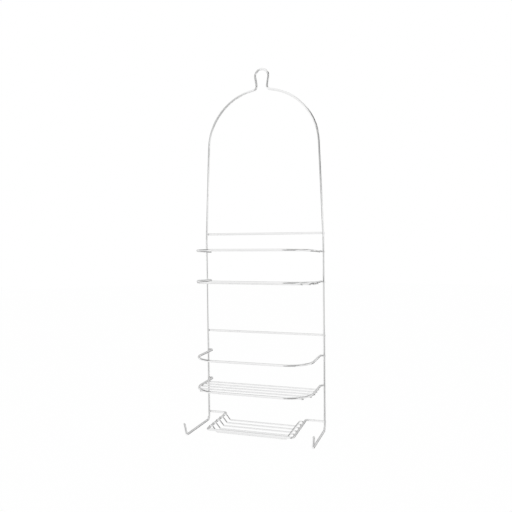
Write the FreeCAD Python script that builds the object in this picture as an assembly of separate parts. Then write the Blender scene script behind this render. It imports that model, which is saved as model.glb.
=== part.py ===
import FreeCAD, Part
import math
import os

# Hanging shower caddy of bent and resistance-welded steel wire.
# Millimetres, +Z up. The origin is the centre of the hanging loop, where the
# shower arm lies. The wall is on the +Y side and the shelves face -Y.

Vector = FreeCAD.Vector
os.makedirs("parts", exist_ok=True)

# What the caddy hangs on, and how loosely the loop fits round it.
shower_arm_diameter = 21.3
loop_clearance = 0.4

# Wires. Where two wires cross they are pressed into each other and welded.
frame_wire_diameter = 4.0
rail_wire_diameter = 4.0
crossbar_wire_diameter = 4.0
shelf_wire_diameter = 2.6
weld_set_down = 0.4
shelf_weld_set_down = 0.3
weld_bead_diameter = 4.6
shelf_weld_bead_diameter = 3.6

# Frame: one wire from hook tip to hook tip, over the arch and round the loop.
upright_spacing = 230.0
upright_splay = 7.0
neck_width = 20.4
neck_bend_radius = 7.0
splay_bend_radius = 150.0
hook_reach = 103.6
hook_arm_slope = 1.9  # degrees, rising towards the front
hook_rise = 20.0
hook_lean = 10.0  # degrees, forward from upright
hook_flare = 7.0  # degrees, outward from upright
upright_foot_bend_radius = 7.0
hook_bend_radius = 5.0

# Heights, from the top down. The centre of the loop is at height 0.
neck_bend_drop = 18.6  # centre of the loop to the centres of the neck bends
upper_crossbar_drop = 294.9  # centre of the loop to the upper crossbar
splay_start_drop = 7.5  # upper crossbar to the foot of the uprights' lean
crossbar_pitch = 187.7  # upper crossbar to the lower one
rail_drops = {"upper": 33.7, "lower": 38.0}  # each crossbar to its guard rail
basket_height = 55.6  # each guard rail to its shelf rim
dish_drop = 67.0  # lower shelf rim to the rim of the soap dish
hook_arm_drop = 14.6  # rim of the soap dish to the arms of the hooks

# Two baskets of one pattern: a guard rail, and a shelf rim under it.
basket_tilts = {"upper": 2.7, "lower": 0.5}  # degrees, rising towards the front
basket_reach = 99.4
basket_corner_radius = 45.0
arm_gap = 4.0
arm_end_bend_radius = 5.0
arm_end_margin = 1.0

# Wires across each shelf, laid under the rim, evenly spaced from front to back.
shelf_wire_count = 5
back_wire_distance = 17.0
shelf_wire_front_gap = 13.5
shelf_wire_overhang = 1.0

# Soap dish: a rim between the uprights and hat-shaped wires hung in it.
dish_rim_width = 158.0
dish_reach = 95.7
dish_corner_radius = 5.0
dish_wire_count = 5
dish_wire_front_gap = 10.0
dish_wire_seat_length = 7.0
dish_wire_drop = 9.6
dish_wire_run = 8.0
dish_wire_bend_radius = 2.5
dish_wire_overhang = -1.4

# Turn of each wire's seam line about its axis, in degrees, and the weld beads'
# poles: both keep the surfaces' own seams clear of the places where they meet.
seam_turn = 40.0
weld_bead_pole = Vector(1, 1, 1)

# Worked out from the sizes above.
half_spacing = upright_spacing / 2
loop_radius = (shower_arm_diameter + loop_clearance + frame_wire_diameter) / 2
arch_radius = half_spacing - upright_splay
neck_bend_x = neck_width / 2 + neck_bend_radius
neck_bend_rise = math.sqrt((arch_radius + neck_bend_radius) ** 2 - neck_bend_x ** 2)
arch_centre_z = -neck_bend_drop - neck_bend_rise
crossbar_heights = {"upper": -upper_crossbar_drop,
                    "lower": -upper_crossbar_drop - crossbar_pitch}
rail_heights = {level: z - rail_drops[level] for level, z in crossbar_heights.items()}
splay_start_z = crossbar_heights["upper"] - splay_start_drop
dish_rim_z = rail_heights["lower"] - basket_height - dish_drop
hook_arm_z = dish_rim_z - hook_arm_drop
rail_lap = (frame_wire_diameter + rail_wire_diameter) / 2 - weld_set_down
crossbar_lap = (frame_wire_diameter + crossbar_wire_diameter) / 2 - weld_set_down
shelf_lap = (rail_wire_diameter + shelf_wire_diameter) / 2 - shelf_weld_set_down
arm_x = half_spacing - frame_wire_diameter / 2 - arm_gap - rail_wire_diameter / 2
arm_end_x = half_spacing + frame_wire_diameter / 2 - arm_end_margin


def upright_x(z):
    """Distance of the upright's centre line from the middle, at height z."""
    if z <= splay_start_z:
        return half_spacing
    foot, tangent = splay_line()
    share = (z - foot.z) / (tangent.z - foot.z)
    return foot.x + share * (tangent.x - foot.x)


def splay_line():
    """Where the leaning part of the upright starts, and where it meets the arch."""
    foot = Vector(half_spacing, 0, splay_start_z)
    to_foot = foot - Vector(0, 0, arch_centre_z)
    turn = math.acos(arch_radius / to_foot.Length)
    angle = math.atan2(to_foot.z, to_foot.x) + turn
    tangent = Vector(math.cos(angle), 0, math.sin(angle)) * arch_radius
    return foot, Vector(tangent.x, 0, tangent.z + arch_centre_z)


def arc_between(centre, start, end):
    """The shorter arc round a centre, from start to end."""
    towards = (start - centre).normalize() + (end - centre).normalize()
    middle = centre + towards.normalize() * (start - centre).Length
    return Part.Arc(start, middle, end).toShape()


def bent_path(corners):
    """Edges through a list of (point, bend radius), rounded at each corner."""
    edges = []
    last = corners[0][0]
    for before, (corner, radius), after in zip(corners, corners[1:], corners[2:]):
        back = (before[0] - corner).normalize()
        ahead = (after[0] - corner).normalize()
        half_angle = back.getAngle(ahead) / 2
        setback = radius / math.tan(half_angle)
        start = corner + back * setback
        end = corner + ahead * setback
        centre = corner + (back + ahead).normalize() * (radius / math.sin(half_angle))
        edges.append(Part.makeLine(last, start))
        edges.append(arc_between(centre, start, end))
        last = end
    edges.append(Part.makeLine(last, corners[-1][0]))
    return edges


def mirrored(edges):
    """The same edges on the other side of the middle plane, in reverse order."""
    plane_point = Vector(0, 0, 0)
    return [edge.mirror(plane_point, Vector(1, 0, 0)) for edge in reversed(edges)]


def wire_solid(edges, diameter):
    """A round wire along connected edges, cut square at both ends."""
    path = Part.Wire(edges)
    first = path.OrderedEdges[0]
    start = path.OrderedVertexes[0].Point
    parameter = first.Curve.parameter(start)
    direction = first.tangentAt(parameter)
    circle = Part.makeCircle(diameter / 2, start, direction)
    circle.rotate(start, direction, seam_turn)
    return path.makePipeShell([Part.Wire(circle)], True, False)


def straight_wire(half_length, y, z, diameter):
    """A straight wire along X, centred on the middle plane."""
    line = Part.makeLine(Vector(-half_length, y, z), Vector(half_length, y, z))
    return wire_solid([line], diameter)


def loop_and_arch_edges():
    """Right half of the top of the frame: loop, neck, arch and leaning upright."""
    crown = Vector(0, 0, loop_radius)
    arch_centre = Vector(0, 0, arch_centre_z)
    neck_centre = Vector(neck_bend_x, 0, -neck_bend_drop)
    # The leg touches the loop on its outside and the neck bend on its inside.
    turn = math.acos((loop_radius + neck_bend_radius) / neck_centre.Length)
    leg_angle = math.atan2(neck_centre.z, neck_centre.x) + turn
    leg_normal = Vector(math.cos(leg_angle), 0, math.sin(leg_angle))
    leg_top = leg_normal * loop_radius
    leg_bottom = neck_centre - leg_normal * neck_bend_radius
    outward = (neck_centre - arch_centre).normalize()
    shoulder = arch_centre + outward * arch_radius
    arch_end = splay_line()[1]
    return [
        arc_between(Vector(0, 0, 0), crown, leg_top),
        Part.makeLine(leg_top, leg_bottom),
        arc_between(neck_centre, leg_bottom, shoulder),
        arc_between(arch_centre, shoulder, arch_end),
    ]


def upright_and_hook_edges():
    """Right upright from the end of the arch down, then forward to the hook tip."""
    foot, arch_end = splay_line()
    arm_slope = math.tan(math.radians(hook_arm_slope))
    lean = math.tan(math.radians(hook_lean))
    flare = math.tan(math.radians(hook_flare))
    bend = Vector(half_spacing, 0, hook_arm_z)
    hook_corner = bend + Vector(0, -1, arm_slope) * hook_reach
    tip_step = Vector(flare, -lean, 1) * hook_rise
    return bent_path([
        (arch_end, 0),
        (foot, splay_bend_radius),
        (bend, upright_foot_bend_radius),
        (hook_corner, hook_bend_radius),
        (hook_corner + tip_step, 0),
    ])


def make_frame_wire():
    """The whole frame wire, with a rounded end on each hook."""
    right_side = loop_and_arch_edges() + upright_and_hook_edges()
    wire = wire_solid(mirrored(right_side) + right_side, frame_wire_diameter)
    tip = right_side[-1].lastVertex().Point
    ends = [Part.makeSphere(frame_wire_diameter / 2, Vector(side * tip.x, tip.y, tip.z))
            for side in (-1, 1)]
    return wire.multiFuse(ends).removeSplitter()


def make_crossbar(z):
    """A straight bar behind the uprights."""
    half_length = upright_x(z) + frame_wire_diameter / 2 - arm_end_margin
    return straight_wire(half_length, crossbar_lap, z, crossbar_wire_diameter)


def tilted_z(z, y, tilt):
    """Height at depth y of a basket wire that leaves the uprights at height z."""
    return z + (rail_lap - y) * math.tan(math.radians(tilt))


def make_basket_rail(z, tilt):
    """A U of wire, tilted up at the front, whose ends turn outward behind the uprights."""
    front_z = tilted_z(z, -basket_reach, tilt)
    right_side = [
        (Vector(arm_x, -basket_reach, front_z), basket_corner_radius),
        (Vector(arm_x, rail_lap, z), arm_end_bend_radius),
        (Vector(arm_end_x, rail_lap, z), 0),
    ]
    return wire_solid(both_sides(right_side), rail_wire_diameter)


def make_dish_rim():
    """A narrower U whose long ends run outward behind the uprights."""
    side_x = dish_rim_width / 2
    right_side = [
        (Vector(side_x, -dish_reach, dish_rim_z), dish_corner_radius),
        (Vector(side_x, rail_lap, dish_rim_z), dish_corner_radius),
        (Vector(arm_end_x, rail_lap, dish_rim_z), 0),
    ]
    return wire_solid(both_sides(right_side), rail_wire_diameter)


def both_sides(right_corners):
    """Path edges of a symmetric wire, from the corners of its right side."""
    left_corners = [(Vector(-corner.x, corner.y, corner.z), radius)
                    for corner, radius in reversed(right_corners)]
    return bent_path(left_corners + right_corners)


def cross_wire_places(count, reach, front_gap):
    """Y of each wire across a shelf or the dish, from the back to the front."""
    pitch = (reach - back_wire_distance - front_gap) / (count - 1)
    return [-back_wire_distance - i * pitch for i in range(count)]


def rim_x(y):
    """Distance of the shelf rim's centre line from the middle, at depth y."""
    corner_start = -basket_reach + basket_corner_radius
    if y >= corner_start:
        return arm_x
    past = corner_start - y
    return arm_x - basket_corner_radius + math.sqrt(basket_corner_radius ** 2 - past ** 2)


def make_shelf_wire(place):
    """A straight wire across the shelf, under the rim at the place where they cross."""
    half_length = place.x + rail_wire_diameter / 2 + shelf_wire_overhang
    return straight_wire(half_length, place.y, place.z - shelf_lap, shelf_wire_diameter)


def make_dish_wire(y):
    """A hat-shaped wire: its ends lie on the rim and its middle hangs lower."""
    seat_z = dish_rim_z + shelf_lap
    end_x = dish_rim_width / 2 + rail_wire_diameter / 2 + dish_wire_overhang
    seat_x = dish_rim_width / 2 - dish_wire_seat_length
    floor_x = seat_x - dish_wire_run
    right_side = [
        (Vector(floor_x, y, seat_z - dish_wire_drop), dish_wire_bend_radius),
        (Vector(seat_x, y, seat_z), dish_wire_bend_radius),
        (Vector(end_x, y, seat_z), 0),
    ]
    return wire_solid(both_sides(right_side), shelf_wire_diameter)


def make_welds(places, diameter, support, wires):
    """A bead in the crevice where each wire crosses its support, on both sides.

    Every place belongs to the wire at the same position in the list.
    """
    beads = []
    for place, wire in zip(places, wires):
        for side in (-1, 1):
            centre = Vector(side * place.x, place.y, place.z)
            bead = Part.makeSphere(diameter / 2, centre, weld_bead_pole)
            beads.append(bead.cut(wire).cut(support))
    return Part.makeCompound(beads)


def lap_point(z):
    """Middle of the weld between an upright and a wire behind it."""
    y = (frame_wire_diameter - weld_set_down) / 2
    return Vector(upright_x(z), y, z)


def export(shape, name):
    """Write one sub-part to its own STEP file."""
    shape.exportStep("parts/" + name + ".step")


def export_seated(wire, support, name):
    """Write a wire with a seat pressed into it where it crosses its support."""
    export(wire.cut(support), name)


frame_wire = make_frame_wire()
export(frame_wire, "frame_wire")

crossbars = []
for level, z in crossbar_heights.items():
    crossbars.append(make_crossbar(z))
    export_seated(crossbars[-1], frame_wire, level + "_crossbar")
laps = [lap_point(z) for z in crossbar_heights.values()]
export(make_welds(laps, weld_bead_diameter, frame_wire, crossbars), "crossbar_welds")

for level, rail_z in rail_heights.items():
    tilt = basket_tilts[level]
    rim_z = rail_z - basket_height
    rail = make_basket_rail(rail_z, tilt)
    rim = make_basket_rail(rim_z, tilt)
    export_seated(rail, frame_wire, level + "_basket_rail")
    export_seated(rim, frame_wire, level + "_shelf_rim")
    laps = [lap_point(rail_z), lap_point(rim_z)]
    welds = make_welds(laps, weld_bead_diameter, frame_wire, [rail, rim])
    export(welds, level + "_basket_welds")

    depths = cross_wire_places(shelf_wire_count, basket_reach, shelf_wire_front_gap)
    places = [Vector(rim_x(y), y, tilted_z(rim_z, y, tilt)) for y in depths]
    wires = [make_shelf_wire(place) for place in places]
    for number, wire in enumerate(wires, start=1):
        export_seated(wire, rim, level + "_shelf_wire_" + str(number))
    seat_drop = Vector(0, 0, (rail_wire_diameter - shelf_weld_set_down) / 2)
    seats = [place - seat_drop for place in places]
    welds = make_welds(seats, shelf_weld_bead_diameter, rim, wires)
    export(welds, level + "_shelf_welds")

dish_rim = make_dish_rim()
export_seated(dish_rim, frame_wire, "soap_dish_rim")
laps = [lap_point(dish_rim_z)]
welds = make_welds(laps, weld_bead_diameter, frame_wire, [dish_rim])
export(welds, "soap_dish_rim_welds")

depths = cross_wire_places(dish_wire_count, dish_reach, dish_wire_front_gap)
wires = [make_dish_wire(y) for y in depths]
for number, wire in enumerate(wires, start=1):
    export_seated(wire, dish_rim, "soap_dish_wire_" + str(number))
seat_z = dish_rim_z + (rail_wire_diameter - shelf_weld_set_down) / 2
seats = [Vector(dish_rim_width / 2, y, seat_z) for y in depths]
welds = make_welds(seats, shelf_weld_bead_diameter, dish_rim, wires)
export(welds, "soap_dish_wire_welds")
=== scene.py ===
import math

import bmesh
import bpy
from mathutils import Matrix, Vector, kdtree, noise


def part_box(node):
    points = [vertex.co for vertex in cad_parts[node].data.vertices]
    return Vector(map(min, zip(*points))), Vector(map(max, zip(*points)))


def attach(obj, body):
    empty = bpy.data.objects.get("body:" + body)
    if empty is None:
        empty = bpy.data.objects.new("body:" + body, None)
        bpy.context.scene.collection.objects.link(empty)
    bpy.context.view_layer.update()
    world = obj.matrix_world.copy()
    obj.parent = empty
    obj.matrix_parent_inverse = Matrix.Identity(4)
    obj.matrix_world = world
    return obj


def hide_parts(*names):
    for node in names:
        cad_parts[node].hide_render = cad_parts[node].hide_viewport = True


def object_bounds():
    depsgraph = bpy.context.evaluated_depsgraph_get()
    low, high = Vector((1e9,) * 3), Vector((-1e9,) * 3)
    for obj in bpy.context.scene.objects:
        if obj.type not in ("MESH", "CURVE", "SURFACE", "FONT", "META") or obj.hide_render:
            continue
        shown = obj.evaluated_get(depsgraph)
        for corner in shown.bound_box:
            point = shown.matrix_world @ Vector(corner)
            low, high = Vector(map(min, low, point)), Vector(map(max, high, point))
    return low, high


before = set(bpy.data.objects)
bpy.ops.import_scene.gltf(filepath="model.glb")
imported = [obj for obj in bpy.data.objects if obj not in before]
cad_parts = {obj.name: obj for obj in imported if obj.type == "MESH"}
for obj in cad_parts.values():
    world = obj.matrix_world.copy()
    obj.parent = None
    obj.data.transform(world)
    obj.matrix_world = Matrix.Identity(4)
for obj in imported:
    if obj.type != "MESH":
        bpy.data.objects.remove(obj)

mm = 0.001
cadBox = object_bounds()
scene = bpy.context.scene

wireMaking = {
    "feedStep": 3.0 * mm,         # spacing of the rings along a straight run
    "bendStep": math.radians(6),
    "fewestBendSteps": 2,
    "mergeDistance": 0.02 * mm,
    "domeSteps": 6,
    "innerRing": 0.5,             # how much of its width the last ring of an end keeps
}
# rings of a cropped end: the sharp edge is broken, and the face is slightly crowned.
# Each goes forward and inward by shares of the chamfer, and keeps a share of its width.
cropRings = ((0.35, 0.3, 1.0), (0.65, 1.0, 1.0), (0.25, 0.0, 0.45),
             (0.05, 0.0, wireMaking["innerRing"]))
cropLength = sum(ring[0] for ring in cropRings)
wires = []    # every bent wire, for the heat marks and the painted shade at its welds


class BentWire:
    # One half of a round wire, fed out from the middle plane and then mirrored.
    # unbent keeps each point's place on the wire as it was before bending, and wires
    # of one style start a metre apart there, so that no two have the same draw lines.

    def __init__(self, y, z, style, number=0):
        self.mesh = bmesh.new()
        self.unbent = self.mesh.verts.layers.float_vector.new("unbent")
        self.radius = style["diameter"] / 2
        self.point = Vector((0, y, z))
        self.direction = Vector((1, 0, 0))
        self.offset = style["textureStart"] + number
        turn = self.direction.to_track_quat("Z", "Y").to_matrix().to_4x4()
        bmesh.ops.create_circle(self.mesh, segments=style["sides"], radius=self.radius)
        for vert in self.mesh.verts:
            vert[self.unbent] = vert.co
        bmesh.ops.transform(self.mesh, matrix=Matrix.Translation(self.point) @ turn,
                            verts=self.mesh.verts[:])
        self.ring = self.mesh.edges[:]

    def takeRing(self, geometry, fed):
        verts = [item for item in geometry if isinstance(item, bmesh.types.BMVert)]
        self.ring = [item for item in geometry if isinstance(item, bmesh.types.BMEdge)
                     and all(vert in verts for vert in item.verts)]
        for vert in verts:
            vert[self.unbent] = vert[self.unbent] + Vector((0, 0, fed))
        return verts

    def advance(self, length):
        made = bmesh.ops.extrude_edge_only(self.mesh, edges=self.ring)
        verts = self.takeRing(made["geom"], length)
        bmesh.ops.translate(self.mesh, vec=self.direction * length, verts=verts)
        return verts

    def lineTo(self, point):
        length = (point - self.point).length
        steps = max(1, round(length / wireMaking["feedStep"]))
        for _ in range(steps):
            self.advance(length / steps)
        self.point = self.point + self.direction * length

    def arcTo(self, centre, point):
        before, after = self.point - centre, point - centre
        axis, angle = before.cross(after).normalized(), before.angle(after)
        steps = max(wireMaking["fewestBendSteps"], math.ceil(angle / wireMaking["bendStep"]))
        for _ in range(steps):
            # kept in order, so that every run numbers the points alike
            corners = dict.fromkeys(vert for edge in self.ring for vert in edge.verts)
            made = bmesh.ops.spin(self.mesh, geom=[*corners, *self.ring], cent=centre,
                                  axis=axis, angle=angle / steps, steps=1, use_merge=False,
                                  use_normal_flip=False, use_duplicate=False)
            self.takeRing(made["geom_last"], before.length * angle / steps)
        turn = Matrix.Rotation(angle, 3, axis)
        self.point = centre + turn @ before
        self.direction = turn @ self.direction

    def through(self, corners):
        # corners are (point, bend radius); the last one is the end of the wire
        for (corner, radius), (after, _) in zip(corners, corners[1:]):
            back = (self.point - corner).normalized()
            ahead = (after - corner).normalized()
            half = back.angle(ahead) / 2
            centre = corner + (back + ahead).normalized() * (radius / math.sin(half))
            self.lineTo(corner + back * (radius / math.tan(half)))
            self.arcTo(centre, corner + ahead * (radius / math.tan(half)))
        self.lineTo(corners[-1][0])

    def shrinkEnd(self, forward, scale):
        verts = self.advance(forward)
        self.point = self.point + self.direction * forward
        bmesh.ops.scale(self.mesh, vec=(scale,) * 3, verts=verts,
                        space=Matrix.Translation(-self.point))
        return verts

    def closeEnd(self, verts):
        bmesh.ops.pointmerge(self.mesh, verts=verts, merge_co=self.point)

    def domeEnd(self):
        height, width = 0.0, self.radius
        for step in range(1, wireMaking["domeSteps"]):
            turn = math.radians(90) * step / wireMaking["domeSteps"]
            nextHeight, nextWidth = self.radius * math.sin(turn), self.radius * math.cos(turn)
            self.shrinkEnd(nextHeight - height, nextWidth / width)
            height, width = nextHeight, nextWidth
        self.closeEnd(self.shrinkEnd(self.radius - height, wireMaking["innerRing"]))

    def cropEnd(self, chamfer):
        for forward, inward, kept in cropRings:
            verts = self.shrinkEnd(chamfer * forward, kept - chamfer * inward / self.radius)
        self.closeEnd(verts)

    def piece(self, name, material):
        mesh = self.mesh
        bmesh.ops.mirror(mesh, geom=mesh.verts[:] + mesh.edges[:] + mesh.faces[:],
                         matrix=Matrix.Identity(4), merge_dist=wireMaking["mergeDistance"],
                         axis="X")
        for vert in mesh.verts:
            x, y, z = vert[self.unbent]
            vert[self.unbent] = Vector((x, y, self.offset + (z if vert.co.x > 0 else -z)))
        bmesh.ops.recalc_face_normals(mesh, faces=mesh.faces[:])
        wires.append(finishMesh(mesh, name, material))
        return wires[-1]


def finishMesh(mesh, name, material):
    data = bpy.data.meshes.new(name)
    mesh.to_mesh(data)
    mesh.free()
    data.polygons.foreach_set("use_smooth", [True] * len(data.polygons))
    data.materials.append(material)
    made = bpy.data.objects.new(name, data)
    scene.collection.objects.link(made)
    return made


def place(made, slot, *nodes):
    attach(made, "root")
    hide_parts(*nodes)


def middleOf(node):
    low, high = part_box(node)
    return (low + high) / 2


def newMaterial(name):
    material = bpy.data.materials.new(name)
    material.use_nodes = True
    nodes = material.node_tree.nodes
    return material, nodes, material.node_tree.links, nodes["Principled BSDF"]


def setInputs(node, values):
    for name, value in values.items():
        node.inputs[name].default_value = value


chrome = {
    "lineStretch": 0.03,          # draw lines run along the wire
    "lineScale": 2400,
    "lineDetail": 3,
    "lineStrength": 0.3,
    "hazeScale": 60,
    "hazeDetail": 4,
    "hazeRange": (0.35, 0.7),
    "hazeTint": 0.96,
    # painted shade: this darker weld colour stands in for the shade at each joint, together with
    # some real heat tint
    "weldHeatAndShadeColour": (0.76, 0.755, 0.75),
    "weldRoughness": 0.10,        # added where a weld has dulled the wire
}
wireFinish = {
    "colour": (0.915, 0.915, 0.915),
    "roughness": (0.10, 0.18),    # where the haze is least and most
    "lineHeight": 0.004 * mm,
}
beadFinish = {"colour": (0.88, 0.88, 0.88), "roughness": (0.20, 0.30), "lineHeight": 0.01 * mm}


def makeChrome(name, colour, roughness, lineHeight):
    material, nodes, links, shader = newMaterial(name)
    shader.inputs["Metallic"].default_value = 1.0
    along = nodes.new("ShaderNodeAttribute")
    along.attribute_name = "unbent"
    stretch = nodes.new("ShaderNodeMapping")
    setInputs(stretch, {"Scale": (1, 1, chrome["lineStretch"])})
    lines = nodes.new("ShaderNodeTexNoise")
    setInputs(lines, {"Scale": chrome["lineScale"], "Detail": chrome["lineDetail"]})
    links.new(along.outputs["Vector"], stretch.inputs["Vector"])
    links.new(stretch.outputs["Vector"], lines.inputs["Vector"])
    haze = nodes.new("ShaderNodeTexNoise")
    setInputs(haze, {"Scale": chrome["hazeScale"], "Detail": chrome["hazeDetail"]})
    links.new(along.outputs["Vector"], haze.inputs["Vector"])
    heatAndShade = nodes.new("ShaderNodeAttribute")
    heatAndShade.attribute_name = "weldHeatAndShade"
    rough = nodes.new("ShaderNodeMapRange")
    setInputs(rough, {"From Min": chrome["hazeRange"][0], "From Max": chrome["hazeRange"][1],
                      "To Min": roughness[0], "To Max": roughness[1]})
    links.new(haze.outputs["Fac"], rough.inputs["Value"])
    dulled = nodes.new("ShaderNodeMath")
    dulled.operation = "MULTIPLY_ADD"
    dulled.inputs[1].default_value = chrome["weldRoughness"]
    links.new(heatAndShade.outputs["Fac"], dulled.inputs[0])
    links.new(rough.outputs["Result"], dulled.inputs[2])
    links.new(dulled.outputs["Value"], shader.inputs["Roughness"])
    tint = nodes.new("ShaderNodeMix")
    tint.data_type = "RGBA"
    setInputs(tint, {"A": (*colour, 1), "B": (*(part * chrome["hazeTint"] for part in colour), 1)})
    links.new(haze.outputs["Fac"], tint.inputs["Factor"])
    # painted shade near the welds: the colour goes darker towards each weld, partly a heat tint
    # and partly the shade at the joint
    heatedAndShaded = nodes.new("ShaderNodeMix")
    heatedAndShaded.data_type = "RGBA"
    setInputs(heatedAndShaded, {"B": (*chrome["weldHeatAndShadeColour"], 1)})
    links.new(heatAndShade.outputs["Fac"], heatedAndShaded.inputs["Factor"])
    links.new(tint.outputs["Result"], heatedAndShaded.inputs["A"])
    links.new(heatedAndShaded.outputs["Result"], shader.inputs["Base Color"])
    bump = nodes.new("ShaderNodeBump")
    setInputs(bump, {"Strength": chrome["lineStrength"], "Distance": lineHeight})
    links.new(lines.outputs["Fac"], bump.inputs["Height"])
    links.new(bump.outputs["Normal"], shader.inputs["Normal"])
    return material


heavyChrome = makeChrome("heavyChrome", **wireFinish)
thinChrome = makeChrome("thinChrome", **wireFinish)
weldChrome = makeChrome("weldChrome", **beadFinish)
print("materials made")

frameWire = {
    "diameter": 4.0 * mm,
    "sides": 24,
    "textureStart": 0.0,
    "splay": 7.0 * mm,            # how far the arch is inside each upright
    "neckWidth": 20.4 * mm,
    "neckBend": 7.0 * mm,
    "neckBendDrop": 18.6 * mm,    # neck bends below the centre of the loop
    "splayDrop": 7.5 * mm,        # foot of the lean below the upper crossbar
    "splayBend": 150.0 * mm,
    "footBend": 7.0 * mm,
    "hookBend": 5.0 * mm,
    "hookArmSlope": math.radians(1.9),
    "hookRise": 20.0 * mm,
    "hookLean": math.radians(10),
    "hookFlare": math.radians(7),
    "railEndMargin": 1.0 * mm,    # how far each rail end stops inside the upright's edge
}
wireRadius = frameWire["diameter"] / 2
frameLow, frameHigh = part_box("frame_wire")
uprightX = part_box("soap_dish_rim")[1].x - wireRadius + frameWire["railEndMargin"]
loopRadius = frameHigh.z - wireRadius
hookArmZ = frameLow.z + wireRadius
crossbarZ = {level: middleOf(level + "_crossbar").z for level in ("upper", "lower")}
archRadius = uprightX - frameWire["splay"]
neckCentre = Vector((frameWire["neckWidth"] / 2 + frameWire["neckBend"], 0,
                     -frameWire["neckBendDrop"]))
archCentre = Vector((0, 0, neckCentre.z - math.sqrt(
    (archRadius + frameWire["neckBend"]) ** 2 - neckCentre.x ** 2)))
splayFoot = Vector((uprightX, 0, crossbarZ["upper"] - frameWire["splayDrop"]))


def tangentPoint(centre, radius, outside):
    # where a line from a point outside a circle touches the circle
    towards = outside - centre
    angle = math.atan2(towards.z, towards.x) + math.acos(radius / towards.length)
    return centre + Vector((math.cos(angle), 0, math.sin(angle))) * radius


archEnd = tangentPoint(archCentre, archRadius, splayFoot)


def uprightAt(z):
    if z <= splayFoot.z:
        return uprightX
    return splayFoot.x + (archEnd.x - splayFoot.x) * (z - splayFoot.z) / (archEnd.z - splayFoot.z)


def makeFrameWire():
    wire = BentWire(0, loopRadius, frameWire)
    # the leg touches the loop on one side and the neck bend on the other
    legAngle = (math.atan2(neckCentre.z, neckCentre.x)
                + math.acos((loopRadius + frameWire["neckBend"]) / neckCentre.length))
    legNormal = Vector((math.cos(legAngle), 0, math.sin(legAngle)))
    wire.arcTo(Vector((0, 0, 0)), legNormal * loopRadius)
    wire.lineTo(neckCentre - legNormal * frameWire["neckBend"])
    wire.arcTo(neckCentre, neckCentre
               - (neckCentre - archCentre).normalized() * frameWire["neckBend"])
    wire.arcTo(archCentre, archEnd)
    rise = frameWire["hookRise"]
    sweep = rise * math.tan(frameWire["hookLean"])
    spread = rise * math.tan(frameWire["hookFlare"])
    # the domed tip stands a wire radius past the end of the hook
    reach = -frameLow.y - sweep - wireRadius
    foot = Vector((uprightX, 0, hookArmZ))
    corner = foot + Vector((0, -reach, reach * math.tan(frameWire["hookArmSlope"])))
    wire.through([(splayFoot, frameWire["splayBend"]), (foot, frameWire["footBend"]),
                  (corner, frameWire["hookBend"]), (corner + Vector((spread, -sweep, rise)), 0)])
    wire.domeEnd()
    return wire.piece("frameWire", heavyChrome)


place(makeFrameWire(), "heavy_wire", "frame_wire")
print("frame wire made")

crossbar = {
    "diameter": 4.0 * mm,
    "sides": 24,
    "textureStart": 3.0,
    "chamfer": 0.4 * mm,
    "trim": 0,
}


def cropX(node, style):
    # where a wire's crop starts; trim is how much shorter than its solid the wire is
    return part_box(node)[1].x - style["trim"] - style["chamfer"] * cropLength


def straightWire(name, node, style, material, number):
    middle = middleOf(node)
    wire = BentWire(middle.y, middle.z, style, number)
    wire.lineTo(Vector((cropX(node, style), middle.y, middle.z)))
    wire.cropEnd(style["chamfer"])
    return wire.piece(name, material)


for number, level in enumerate(("upper", "lower")):
    node = level + "_crossbar"
    made = straightWire(level + "Crossbar", node, crossbar, heavyChrome, number)
    place(made, "heavy_wire", node)
print("crossbars made")

basket = {
    "diameter": 4.0 * mm,
    "sides": 24,
    "textureStart": 5.0,
    "cornerRadius": 45.0 * mm,
    "armGap": 4.0 * mm,           # clear space between each arm and its upright
    "armEndBend": 5.0 * mm,
    "chamfer": 0.4 * mm,
    "trim": 0,
}
basketRadius = basket["diameter"] / 2


def makeRail(name, node, number):
    # the front of each basket is tipped up a little
    low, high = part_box(node)
    backZ, frontZ = low.z + basketRadius, high.z - basketRadius
    front, back = low.y + basketRadius, high.y - basketRadius
    armX = uprightX - wireRadius - basket["armGap"] - basketRadius
    wire = BentWire(front, frontZ, basket, number)
    wire.through([(Vector((armX, front, frontZ)), basket["cornerRadius"]),
                  (Vector((armX, back, backZ)), basket["armEndBend"]),
                  (Vector((cropX(node, basket), back, backZ)), 0)])
    wire.cropEnd(basket["chamfer"])
    return wire.piece(name, heavyChrome)


basketWires = [(level, part, node) for level in ("upper", "lower")
               for part, node in (("Rail", "_basket_rail"), ("ShelfRim", "_shelf_rim"))]
for number, (level, part, node) in enumerate(basketWires):
    made = makeRail(level + part, level + node, number)
    place(made, "heavy_wire", level + node)
print("basket rails and shelf rims made")

shelfWire = {
    "diameter": 2.6 * mm,
    "sides": 18,
    "textureStart": 9.0,
    "count": 5,
    "overhang": 1.0 * mm,         # past the outside of the rim
    "chamfer": 0.3 * mm,
    "trim": 1.5 * mm,             # ends are snipped nearly flush with the rim
}
shelfWires = [(level, index) for level in ("upper", "lower")
              for index in range(1, shelfWire["count"] + 1)]
for number, (level, index) in enumerate(shelfWires):
    node = f"{level}_shelf_wire_{index}"
    made = straightWire(f"{level}ShelfWire{index}", node, shelfWire, thinChrome, number)
    place(made, "thin_wire", node)
print("shelf wires made")

dishRim = {
    "diameter": 4.0 * mm,
    "sides": 24,
    "textureStart": 40.0,
    "width": 158.0 * mm,
    "cornerRadius": 5.0 * mm,
    "chamfer": 0.4 * mm,
    "trim": 0,
}
dishWire = {
    "diameter": 2.6 * mm,
    "sides": 18,
    "textureStart": 42.0,
    "count": 5,
    "seatLength": 7.0 * mm,       # level part of each wire, inside the rim
    "run": 8.0 * mm,
    "bend": 2.5 * mm,
    "chamfer": 0.3 * mm,
    "trim": 0.7 * mm,
}


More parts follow.
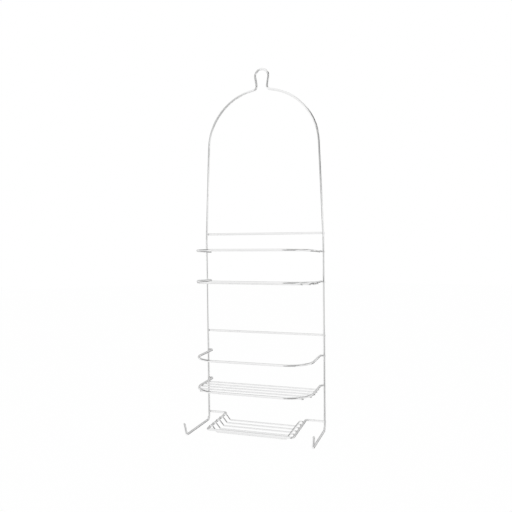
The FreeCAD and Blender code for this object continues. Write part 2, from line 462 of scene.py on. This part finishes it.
def makeDishRim():
    node = "soap_dish_rim"
    low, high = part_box(node)
    z = middleOf(node).z
    front, back = low.y + dishRim["diameter"] / 2, high.y - dishRim["diameter"] / 2
    side = dishRim["width"] / 2
    wire = BentWire(front, z, dishRim)
    wire.through([(Vector((side, front, z)), dishRim["cornerRadius"]),
                  (Vector((side, back, z)), dishRim["cornerRadius"]),
                  (Vector((cropX(node, dishRim), back, z)), 0)])
    wire.cropEnd(dishRim["chamfer"])
    return wire.piece("soapDishRim", heavyChrome)


def makeDishWire(name, node, number):
    low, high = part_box(node)
    y = middleOf(node).y
    floorZ, seatZ = low.z + dishWire["diameter"] / 2, high.z - dishWire["diameter"] / 2
    seatX = dishRim["width"] / 2 - dishWire["seatLength"]
    wire = BentWire(y, floorZ, dishWire, number)
    wire.through([(Vector((seatX - dishWire["run"], y, floorZ)), dishWire["bend"]),
                  (Vector((seatX, y, seatZ)), dishWire["bend"]),
                  (Vector((cropX(node, dishWire), y, seatZ)), 0)])
    wire.cropEnd(dishWire["chamfer"])
    return wire.piece(name, thinChrome)


place(makeDishRim(), "heavy_wire", "soap_dish_rim")
for number in range(dishWire["count"]):
    node = f"soap_dish_wire_{number + 1}"
    made = makeDishWire(f"soapDishWire{number + 1}", node, number)
    place(made, "thin_wire", node)
print("soap dish made")

weld = {
    "diameter": 4.6 * mm,
    "smallDiameter": 2.2 * mm,
    "dishDiameter": 1.9 * mm,
    "divisions": 4,
    "setDown": 0.4 * mm,          # how far two crossing wires sink into each other
    "smallSetDown": 0.3 * mm,
    "squash": 0.85,               # beads are pressed flat where the wires meet
    "lumpHeight": 0.08,
    "lumpSize": 1.1 * mm,
    "lumpNoise": (1.0, 2.0, 3),   # falloff, step between sizes, number of sizes
    "heatAndShadeReach": 4.0 * mm,        # how far the heat mark and its painted shade run along the wires
}
weldPlaces = []


def makeWelds(name, diameter, squash, places, node):
    # every bead has lumps of its own
    mesh = bmesh.new()
    for spot in places:
        for side in (-1, 1):
            centre = Vector((side * spot.x, spot.y, spot.z))
            made = bmesh.ops.create_icosphere(mesh, subdivisions=weld["divisions"],
                                              radius=diameter / 2)
            for vert in made["verts"]:
                lump = noise.fractal((centre + vert.co) / weld["lumpSize"], *weld["lumpNoise"])
                vert.co *= 1 + weld["lumpHeight"] * lump
            bmesh.ops.scale(mesh, vec=squash, verts=made["verts"])
            bmesh.ops.translate(mesh, vec=centre, verts=made["verts"])
            weldPlaces.append(centre)
    place(finishMesh(mesh, name, weldChrome), "weld_bead", node)


def lapPlace(z):
    return Vector((uprightAt(z), (frameWire["diameter"] - weld["setDown"]) / 2, z))


def shelfSeat(node):
    middle = middleOf(node)
    return Vector((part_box(node)[1].x - shelfWire["overhang"] - basketRadius, middle.y,
                   middle.z + (shelfWire["diameter"] - weld["smallSetDown"]) / 2))


flatBehind = (1, weld["squash"], 1)
flatBelow = (1, 1, weld["squash"])
makeWelds("crossbarWelds", weld["diameter"], flatBehind,
          [lapPlace(z) for z in crossbarZ.values()], "crossbar_welds")
for level in ("upper", "lower"):
    backs = [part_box(level + node)[0].z + basketRadius
             for node in ("_basket_rail", "_shelf_rim")]
    makeWelds(level + "BasketWelds", weld["diameter"], flatBehind,
              [lapPlace(z) for z in backs], level + "_basket_welds")
    seats = [shelfSeat(f"{level}_shelf_wire_{index}")
             for index in range(1, shelfWire["count"] + 1)]
    makeWelds(level + "ShelfWelds", weld["smallDiameter"], flatBelow, seats,
              level + "_shelf_welds")
rimZ = middleOf("soap_dish_rim").z
makeWelds("soapDishRimWelds", weld["diameter"], flatBehind, [lapPlace(rimZ)],
          "soap_dish_rim_welds")
seatZ = rimZ + (dishRim["diameter"] - weld["smallSetDown"]) / 2
seats = [Vector((dishRim["width"] / 2, middleOf(f"soap_dish_wire_{index}").y, seatZ))
         for index in range(1, dishWire["count"] + 1)]
makeWelds("soapDishWireWelds", weld["dishDiameter"], flatBelow, seats,
          "soap_dish_wire_welds")
print("welds made")


def markHeatAndShade(piece, tree):
    # 1 at a weld, fading to 0 along the wires that it joins: a real heat mark, and also painted
    # shade where the wires meet
    haze = piece.data.attributes.new("weldHeatAndShade", "FLOAT", "POINT")
    for vert, value in zip(piece.data.vertices, haze.data):
        distance = tree.find(vert.co)[2]
        value.value = max(0.0, 1 - distance / weld["heatAndShadeReach"])


tree = kdtree.KDTree(len(weldPlaces))
for number, centre in enumerate(weldPlaces):
    tree.insert(centre, number)
tree.balance()
# heat marks and painted shade at the welds
for piece in wires:
    markHeatAndShade(piece, tree)
print("heat marks made")

stage = {
    "floorDrop": 350 * mm,
    "floorRadius": 8.0,
    "floorSides": 64,
    "floorColour": (0.9, 0.9, 0.9, 1),
    "floorRoughness": 0.9,
    "floorWhite": 0.985,          # share that is plain white; the rest takes the shadow
    "roomLight": 0.7,
}
white = (1, 1, 1, 1)


def seenWhite(nodes, links):
    # 1 for the rays that see a background, in the camera or in metal
    path = nodes.new("ShaderNodeLightPath")
    seen = path.outputs["Is Camera Ray"]
    for kind in ("Is Glossy Ray", "Is Transmission Ray"):
        either = nodes.new("ShaderNodeMath")
        either.operation = "MAXIMUM"
        links.new(seen, either.inputs[0])
        links.new(path.outputs[kind], either.inputs[1])
        seen = either.outputs["Value"]
    return seen


def makeWorld():
    world = bpy.data.worlds.new("studio")
    world.use_nodes = True
    nodes, links = world.node_tree.nodes, world.node_tree.links
    room = nodes["Background"]
    setInputs(room, {"Color": white, "Strength": stage["roomLight"]})
    plain = nodes.new("ShaderNodeBackground")
    setInputs(plain, {"Color": white, "Strength": 1.0})
    mix = nodes.new("ShaderNodeMixShader")
    links.new(seenWhite(nodes, links), mix.inputs[0])
    links.new(room.outputs["Background"], mix.inputs[1])
    links.new(plain.outputs["Background"], mix.inputs[2])
    links.new(mix.outputs["Shader"], nodes["World Output"].inputs["Surface"])
    scene.world = world


def makeFloor():
    mesh = bmesh.new()
    bmesh.ops.create_circle(mesh, cap_ends=True, segments=stage["floorSides"],
                            radius=stage["floorRadius"])
    bmesh.ops.translate(mesh, vec=(0, 0, cadBox[0].z - stage["floorDrop"]), verts=mesh.verts[:])
    material, nodes, links, shader = newMaterial("floor")
    setInputs(shader, {"Base Color": stage["floorColour"], "Roughness": stage["floorRoughness"]})
    glow = nodes.new("ShaderNodeEmission")
    glow.inputs["Strength"].default_value = 1.0
    share = nodes.new("ShaderNodeMath")
    share.operation = "MULTIPLY"
    share.inputs[1].default_value = stage["floorWhite"]
    mix = nodes.new("ShaderNodeMixShader")
    links.new(seenWhite(nodes, links), share.inputs[0])
    links.new(share.outputs["Value"], mix.inputs[0])
    links.new(shader.outputs["BSDF"], mix.inputs[1])
    links.new(glow.outputs["Emission"], mix.inputs[2])
    links.new(mix.outputs["Shader"], nodes["Material Output"].inputs["Surface"])
    floor = finishMesh(mesh, "floor", material)
    floor.visible_glossy = False


# dark panels round the set, which only the chrome sees: every one is a patch of one big
# sphere. Azimuth 0 is in front of the caddy, and 90 is on its right.
panelSphere = {"radius": 12.0, "step": 5}    # metres, and degrees between its points
panels = {
    # name: azimuth from and to, elevation from and to, all in degrees, and how dark
    "left": (253, 312, -1, 54, 0.76),
    "frontUpper": (-6, 63, 7, 22, 1.0),
    "front": (-8, 50, -51, 0, 0.74),
    "frontLeft": (322, 342, -49, -15, 0.18),
    "rightUpper": (8, 147, 26, 50, 0.85),
    "right": (65, 125, -32, -18, 0.24),
    "rightLower": (69, 121, -52, -31, 0.34),
    "backUpper": (169, 246, 15, 68, 0.39),
    "back": (193, 212, -27, 33, 0.52),
    "backMiddle": (144, 180, 6, 32, 0.40),
    "backRight": (135, 185, -34, -10, 0.90),
    "backLeft": (210, 240, -40, 20, 0.27),
    "backLower": (185, 215, -52, -28, 0.32),
}
lamps = {
    # name: place and size in metres, and power in watts
    "keyLamp": ((-1.2, -1.6, 1.2), 1.2, 12),
    "fillLamp": ((1.8, -1.2, 0.4), 1.4, 6),
}
cadMiddle = (cadBox[0] + cadBox[1]) / 2


def makePanel(name, azimuth, endAzimuth, elevation, endElevation, dark):
    mesh = bmesh.new()
    start, width, height = math.radians(elevation), endAzimuth - azimuth, endElevation - elevation
    made = bmesh.ops.create_vert(mesh, co=(0, -math.cos(start) * panelSphere["radius"],
                                           math.sin(start) * panelSphere["radius"]))
    bmesh.ops.spin(mesh, geom=made["vert"], axis=(-1, 0, 0), angle=math.radians(height),
                   steps=math.ceil(height / panelSphere["step"]))
    bmesh.ops.rotate(mesh, verts=mesh.verts[:],
                     matrix=Matrix.Rotation(math.radians(azimuth), 3, "Z"))
    bmesh.ops.spin(mesh, geom=mesh.verts[:] + mesh.edges[:], axis=(0, 0, 1),
                   angle=math.radians(width), steps=math.ceil(width / panelSphere["step"]))
    bmesh.ops.translate(mesh, vec=cadMiddle, verts=mesh.verts[:])
    material, nodes, links, shader = newMaterial(name + "Panel")
    glow = nodes.new("ShaderNodeEmission")
    glow.inputs["Color"].default_value = (1 - dark, 1 - dark, 1 - dark, 1)
    links.new(glow.outputs["Emission"], nodes["Material Output"].inputs["Surface"])
    panel = finishMesh(mesh, name + "Panel", material)
    panel.visible_camera = False
    panel.visible_diffuse = False
    panel.visible_transmission = False
    panel.visible_shadow = False


def makeLamp(name, at, size, power):
    data = bpy.data.lights.new(name, "AREA")
    data.shape = "DISK"
    data.size = size
    data.energy = power
    lamp = bpy.data.objects.new(name, data)
    lamp.location = at
    lamp.rotation_euler = (cadMiddle - Vector(at)).to_track_quat("-Z", "Y").to_euler()
    lamp.visible_glossy = False
    scene.collection.objects.link(lamp)


makeWorld()
makeFloor()
for name, shape in panels.items():
    makePanel(name, *shape)
for name, lamp in lamps.items():
    makeLamp(name, *lamp)
print("stage and lamps made")

view = {
    "location": (0.30892, -1.00050, -0.30667),
    "turn": (88.351, 0.564, 17.909),    # degrees
    "lens": 38.990,
    "sensor": 36,
}
camera = bpy.data.objects.new("camera", bpy.data.cameras.new("camera"))
camera.data.sensor_width = view["sensor"]
camera.data.lens = view["lens"]
camera.location = view["location"]
camera.rotation_euler = [math.radians(angle) for angle in view["turn"]]
scene.collection.objects.link(camera)
scene.camera = camera
scene.view_settings.view_transform = "Standard"
